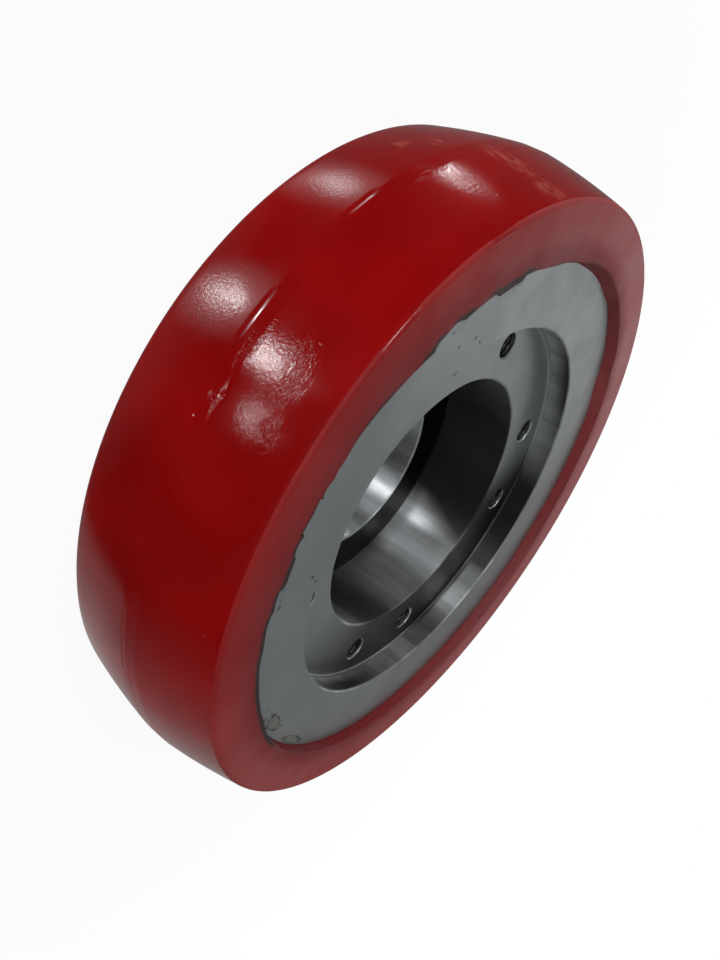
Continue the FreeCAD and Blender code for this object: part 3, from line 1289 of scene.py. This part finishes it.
@dataclass(frozen=True)
class SoftLamp:
    """A round or oval soft lamp, placed by its direction from the roller and facing it."""

    name: str
    azimuth: float
    elevation: float
    breadth: float
    tallness: float
    radiance: float
    reach: Reach = Reach.ALL
    distance: float = 30.0
    roll: float = 0.0

    def across(self, angle: float) -> float:
        """The size that fills an angle at the lamp's distance."""
        return 2.0 * self.distance * math.tan(math.radians(angle) / 2.0)

    def build(self, target: Vector) -> bpy.types.AreaLight:
        """Hangs the lamp."""
        turn = math.radians(self.azimuth)
        rise = math.radians(self.elevation)
        away = Vector((math.cos(turn) * math.cos(rise), math.sin(turn) * math.cos(rise), math.sin(rise)))
        lamp = bpy.data.lights.new(self.name, "AREA")
        lamp.shape = "ELLIPSE"
        lamp.size = self.across(self.breadth)
        lamp.size_y = self.across(self.tallness)
        area = math.pi * lamp.size * lamp.size_y / 4.0
        lamp.energy = self.radiance * math.pi * area
        made = bpy.data.objects.new(self.name, lamp)
        made.location = target + away * self.distance
        rolled = Quaternion((0.0, 0.0, 1.0), math.radians(self.roll))
        made.rotation_euler = (away.to_track_quat("Z", "Y") @ rolled).to_euler()
        made.visible_camera = False
        made.visible_diffuse = self.reach is not Reach.GLOSS
        made.visible_glossy = self.reach is not Reach.MATT
        bpy.context.scene.collection.objects.link(made)
        return lamp


@dataclass(frozen=True)
class GlowLamp(SoftLamp):
    """A lamp that is only mirrored in the gloss, bright in the middle and fading outwards."""

    reach: Reach = Reach.GLOSS
    core: float = 0.4
    halo: float = 0.12

    def glow(self, lamp: bpy.types.AreaLight) -> None:
        """Lets the lamp fade from its core through its halo to its rim."""
        sheet = empty_sheet(lamp)
        place = sheet.add("ShaderNodeNewGeometry").outputs["Parametric"]
        off = sheet.vector("DISTANCE", place, (0.5, 0.5, 0.0))["Value"]
        core = sheet.band(off, 0.0, 0.5 * self.core, 1.0 - self.halo, 0.0)
        halo = sheet.band(off, 0.0, 0.5, self.halo, 0.0)
        light = sheet.add("ShaderNodeEmission", Strength=sheet.math("ADD", core, halo))
        sheet.add("ShaderNodeOutputLight", Surface=light.outputs["Emission"])

    def build(self, target: Vector) -> bpy.types.AreaLight:
        """Hangs the lamp."""
        lamp = super().build(target)
        self.glow(lamp)
        return lamp


@dataclass(frozen=True)
class Climb:
    """A value that climbs evenly from its first to its last between two stops, and is held beyond them."""

    start: float
    stop: float
    first: float
    last: float

    def along(self, sheet: SurfaceSheet, measure: Socket) -> Socket:
        """The value along a measure."""
        return sheet.ramp(measure, self.start, self.stop, self.first, self.last)


@dataclass
class Studio:
    """Pale floor, white surroundings, soft lamps and the camera."""

    target: Vector
    camera_place: Vector = Vector((0.14277, 0.22386, 0.14448))
    camera_right: Vector = Vector((0.2619, -0.6070, 0.7503))
    camera_forward: Vector = Vector((-0.5702, -0.7246, -0.3872))
    lens: float = 35.28
    framing_shift: float = 0.0906
    sensor: float = 36.0
    nearest: float = 0.01
    ambient: float = 0.30
    floor_size: float = 6.0
    floor_colour: Colour = (0.9, 0.9, 0.9)
    # Share of the floor near the axis that is plain white to the eye, while the rest takes the shadow
    plain_share: float = 0.92
    shadow_reach: Point = (0.10, 0.40)
    # What the gloss mirrors: brightness by the height of a direction, from -1 straight down to 1 straight
    # up, or by its turn from the heading; a shift moves a brightness round with the height
    heading: float = 45.0
    mirrored_above: float = 0.28
    horizon: Point = (-0.05, 0.20)
    side_edge: Climb = Climb(98.0, 104.0, 0.0, 0.1176)
    side_edge_shift: Climb = Climb(-0.60, -0.90, 0.0, 9.0)
    side_edge_share: Climb = Climb(-0.53, -0.64, 0.0, 1.5)
    side: Climb = Climb(84.0, 140.0, 0.0, 0.315)
    side_shift: Climb = Climb(-0.50, -0.62, 0.0, 14.0)
    front: Climb = Climb(-65.0, -140.0, 0.015, 0.15)
    ground: Climb = Climb(-0.82, -0.92, 0.0, 0.12)
    # Lamps are given by azimuth, elevation, breadth and tallness, all in degrees, and radiance
    lamps: tuple[SoftLamp, ...] = (
        SoftLamp("overhead soft panel", 35.0, 45.0, 48.0, 48.0, 3.2, Reach.MATT),
        SoftLamp("low front panel", -15.0, -10.0, 48.0, 48.0, 2.0, Reach.MATT),
        SoftLamp("end face panel", -100.0, 18.0, 32.0, 36.0, 0.46),
        GlowLamp("far flank highlight", 29.9, -56.0, 23.0, 32.0, 42.0, core=0.24, halo=0.04),
        GlowLamp(
            "far flank second highlight", -30.5, -47.5, 19.0, 30.0, 6.5, core=0.38, halo=0.16, roll=-50.0
        ),
        GlowLamp("near flank highlight", 46.6, -19.2, 13.0, 32.0, 44.0, core=0.5, halo=0.04),
        GlowLamp("near flank low highlight", 63.4, -14.2, 13.0, 12.0, 44.0, core=0.38, halo=0.04),
        GlowLamp("near flank top highlight", -36.9, -22.2, 13.0, 20.0, 66.0, core=0.22, halo=0.04),
        GlowLamp("bore streak", 50.0, 30.0, 26.0, 24.0, 14.0, core=0.8, halo=0.2),
        GlowLamp("second bore streak", 18.0, 30.0, 17.0, 24.0, 17.0, core=0.8, halo=0.2),
        GlowLamp("edge highlight", 11.0, 26.0, 8.0, 5.0, 12.0, core=0.8),
        GlowLamp("top edge highlight", -31.0, 14.0, 9.0, 5.0, 10.0, core=0.8),
    )

    def build(self) -> None:
        """Sets up the floor, the world, the lamps and the camera."""
        self.build_floor()
        self.build_world()
        for lamp in self.lamps:
            lamp.build(self.target)
        self.build_camera()
        bpy.context.scene.view_settings.view_transform = "Standard"

    def build_floor(self) -> None:
        """Lays the pale floor, which keeps a light shadow."""
        half = self.floor_size / 2.0
        corners = [(-half, -half, 0.0), (half, -half, 0.0), (half, half, 0.0), (-half, half, 0.0)]
        mesh = bpy.data.meshes.new("floor")
        mesh.from_pydata(corners, [], [(0, 1, 2, 3)])
        material = bpy.data.materials.new("pale floor")
        sheet = empty_sheet(material)
        place = sheet.add("ShaderNodeTexCoord").outputs["Object"]
        near, far = self.shadow_reach
        plain = sheet.band(sheet.radius(place), near, far, self.plain_share, 1.0)
        seen = sheet.add("ShaderNodeLightPath").outputs["Is Camera Ray"]
        matt = sheet.add("ShaderNodeBsdfDiffuse", Color=(*self.floor_colour, 1.0))
        white = sheet.add("ShaderNodeEmission", Color=(1.0, 1.0, 1.0, 1.0), Strength=1.0)
        mixed = sheet.add(
            "ShaderNodeMixShader",
            i0=sheet.math("MULTIPLY", seen, plain),
            i1=matt.outputs["BSDF"],
            i2=white.outputs["Emission"],
        )
        sheet.add("ShaderNodeOutputMaterial", Surface=mixed.outputs["Shader"])
        mesh.materials.append(material)
        floor = new_object("floor", mesh)
        floor.visible_glossy = False
        floor.visible_shadow = False

    def mirrored_below(self, sheet: SurfaceSheet, direction: Socket) -> Socket:
        """What the gloss mirrors from below: a pale side, a dim front and a dim ground."""
        east = math.cos(math.radians(self.heading))
        north = math.sin(math.radians(self.heading))
        ahead = sheet.vector("DOT_PRODUCT", direction, (east, north, 0.0))["Value"]
        aside = sheet.vector("DOT_PRODUCT", direction, (-north, east, 0.0))["Value"]
        turn = sheet.math("DEGREES", sheet.math("ARCTAN2", aside, ahead))
        height = sheet.height(direction)
        side_turn = sheet.math("SUBTRACT", turn, self.side_shift.along(sheet, height))
        side = self.side.along(sheet, side_turn)
        edge_turn = sheet.math("SUBTRACT", turn, self.side_edge_shift.along(sheet, height))
        edge = self.side_edge.along(sheet, edge_turn)
        side = sheet.math("MULTIPLY_ADD", edge, self.side_edge_share.along(sheet, height), side)
        front = self.front.along(sheet, turn)
        ground = self.ground.along(sheet, height)
        return sheet.math("ADD", side, sheet.math("ADD", front, ground))

    def build_world(self) -> None:
        """Makes the surroundings white to the eye, soft as a light, and dimmer in reflections."""
        world = bpy.data.worlds.new("white surroundings")
        sheet = empty_sheet(world)
        path = sheet.add("ShaderNodeLightPath").outputs
        direction = sheet.add("ShaderNodeTexCoord").outputs["Generated"]
        below = self.mirrored_below(sheet, direction)
        low, high = self.horizon
        mirrored = sheet.band(sheet.height(direction), low, high, below, self.mirrored_above)
        change = sheet.math("SUBTRACT", mirrored, self.ambient)
        strength = sheet.math("MULTIPLY_ADD", path["Is Glossy Ray"], change, self.ambient)
        strength = sheet.math("MULTIPLY_ADD", path["Is Camera Ray"], 1.0 - self.ambient, strength)
        white = sheet.add("ShaderNodeBackground", Color=(1.0, 1.0, 1.0, 1.0), Strength=strength)
        sheet.add("ShaderNodeOutputWorld", Surface=white.outputs["Background"])
        bpy.context.scene.world = world

    def build_camera(self) -> None:
        """Puts the camera where the photograph was taken from, with the shift of its cropped frame."""
        back = -self.camera_forward.normalized()
        right = (self.camera_right - back * self.camera_right.dot(back)).normalized()
        up = back.cross(right)
        camera = bpy.data.cameras.new("camera")
        camera.lens = self.lens
        camera.sensor_width = self.sensor
        camera.shift_y = self.framing_shift
        camera.clip_start = self.nearest
        made = bpy.data.objects.new("camera", camera)
        turn = Matrix((right, up, back)).transposed().to_4x4()
        made.matrix_world = Matrix.Translation(self.camera_place) @ turn
        bpy.context.scene.collection.objects.link(made)
        bpy.context.scene.camera = made


def mount_value(record: dict, mount: str, key: str) -> float:
    """A dimension of one of the record's mounts, in metres."""
    found = next(m for m in record["mounts"] if m["name"] == mount)
    return found["dims"][key] * MM


def clear_scene() -> None:
    """Removes what a new file holds."""
    for item in list(bpy.data.objects):
        bpy.data.objects.remove(item)


def hand_over(piece: bpy.types.Object, node: str) -> None:
    """Ties a finished piece to its body, hides the solid that it replaces, and reports it."""
    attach(piece, BODY)
    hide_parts(node)
    LOG.info("%s: %d points, %d faces", piece.name, len(piece.data.vertices), len(piece.data.polygons))


def main() -> None:
    """Builds the roller on its frame, then the studio round it."""
    logging.basicConfig(level=logging.INFO, format="%(name)s %(message)s")
    clear_scene()
    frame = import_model()
    record = frame["record"]
    tread_low, tread_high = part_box("tread")
    hub_low, hub_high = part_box("hub")
    turning = turning_tree()
    pairing = pairs_tree()
    tread = Tread(
        outer=tread_high.x - Tread.skin_clear,
        inner=hub_high.x,
        width=tread_high.z - tread_low.z,
        hub_bottom=hub_low.z,
        hub_top=hub_high.z,
    )
    hand_over(tread.build(turning), "tread")
    long_side = mount_value(record, "cover_screws_x", "spacing_x_mm")
    short_side = mount_value(record, "cover_screws_x", "spacing_y_mm")
    cover_face = next(m for m in record["mounts"] if m["name"] == "cover_face")
    seat_length = mount_value(record, "bearing_seat", "length_mm")
    hub = Hub(
        outer=hub_high.x,
        bottom=hub_low.z,
        top=hub_high.z,
        recess=mount_value(record, "cover_register", "r_mm"),
        floor=cover_face["pos_m"][2],
        seat=mount_value(record, "bearing_seat", "r_mm"),
        shoulder=cover_face["pos_m"][2] - seat_length - Hub.edge_break,
        bore=mount_value(record, "shaft_way", "r_mm"),
        hole_circle=math.hypot(long_side, short_side) / 2.0,
        hole_radius=mount_value(record, "cover_screws_x", "hole_r_mm"),
        pair_spread=2.0 * math.degrees(math.atan2(short_side, long_side)),
    )
    hand_over(hub.build(turning, pairing), "hub")
    Studio(target=Vector((0.0, 0.0, tread_high.z / 2.0))).build()


if __name__ == "__main__":
    main()
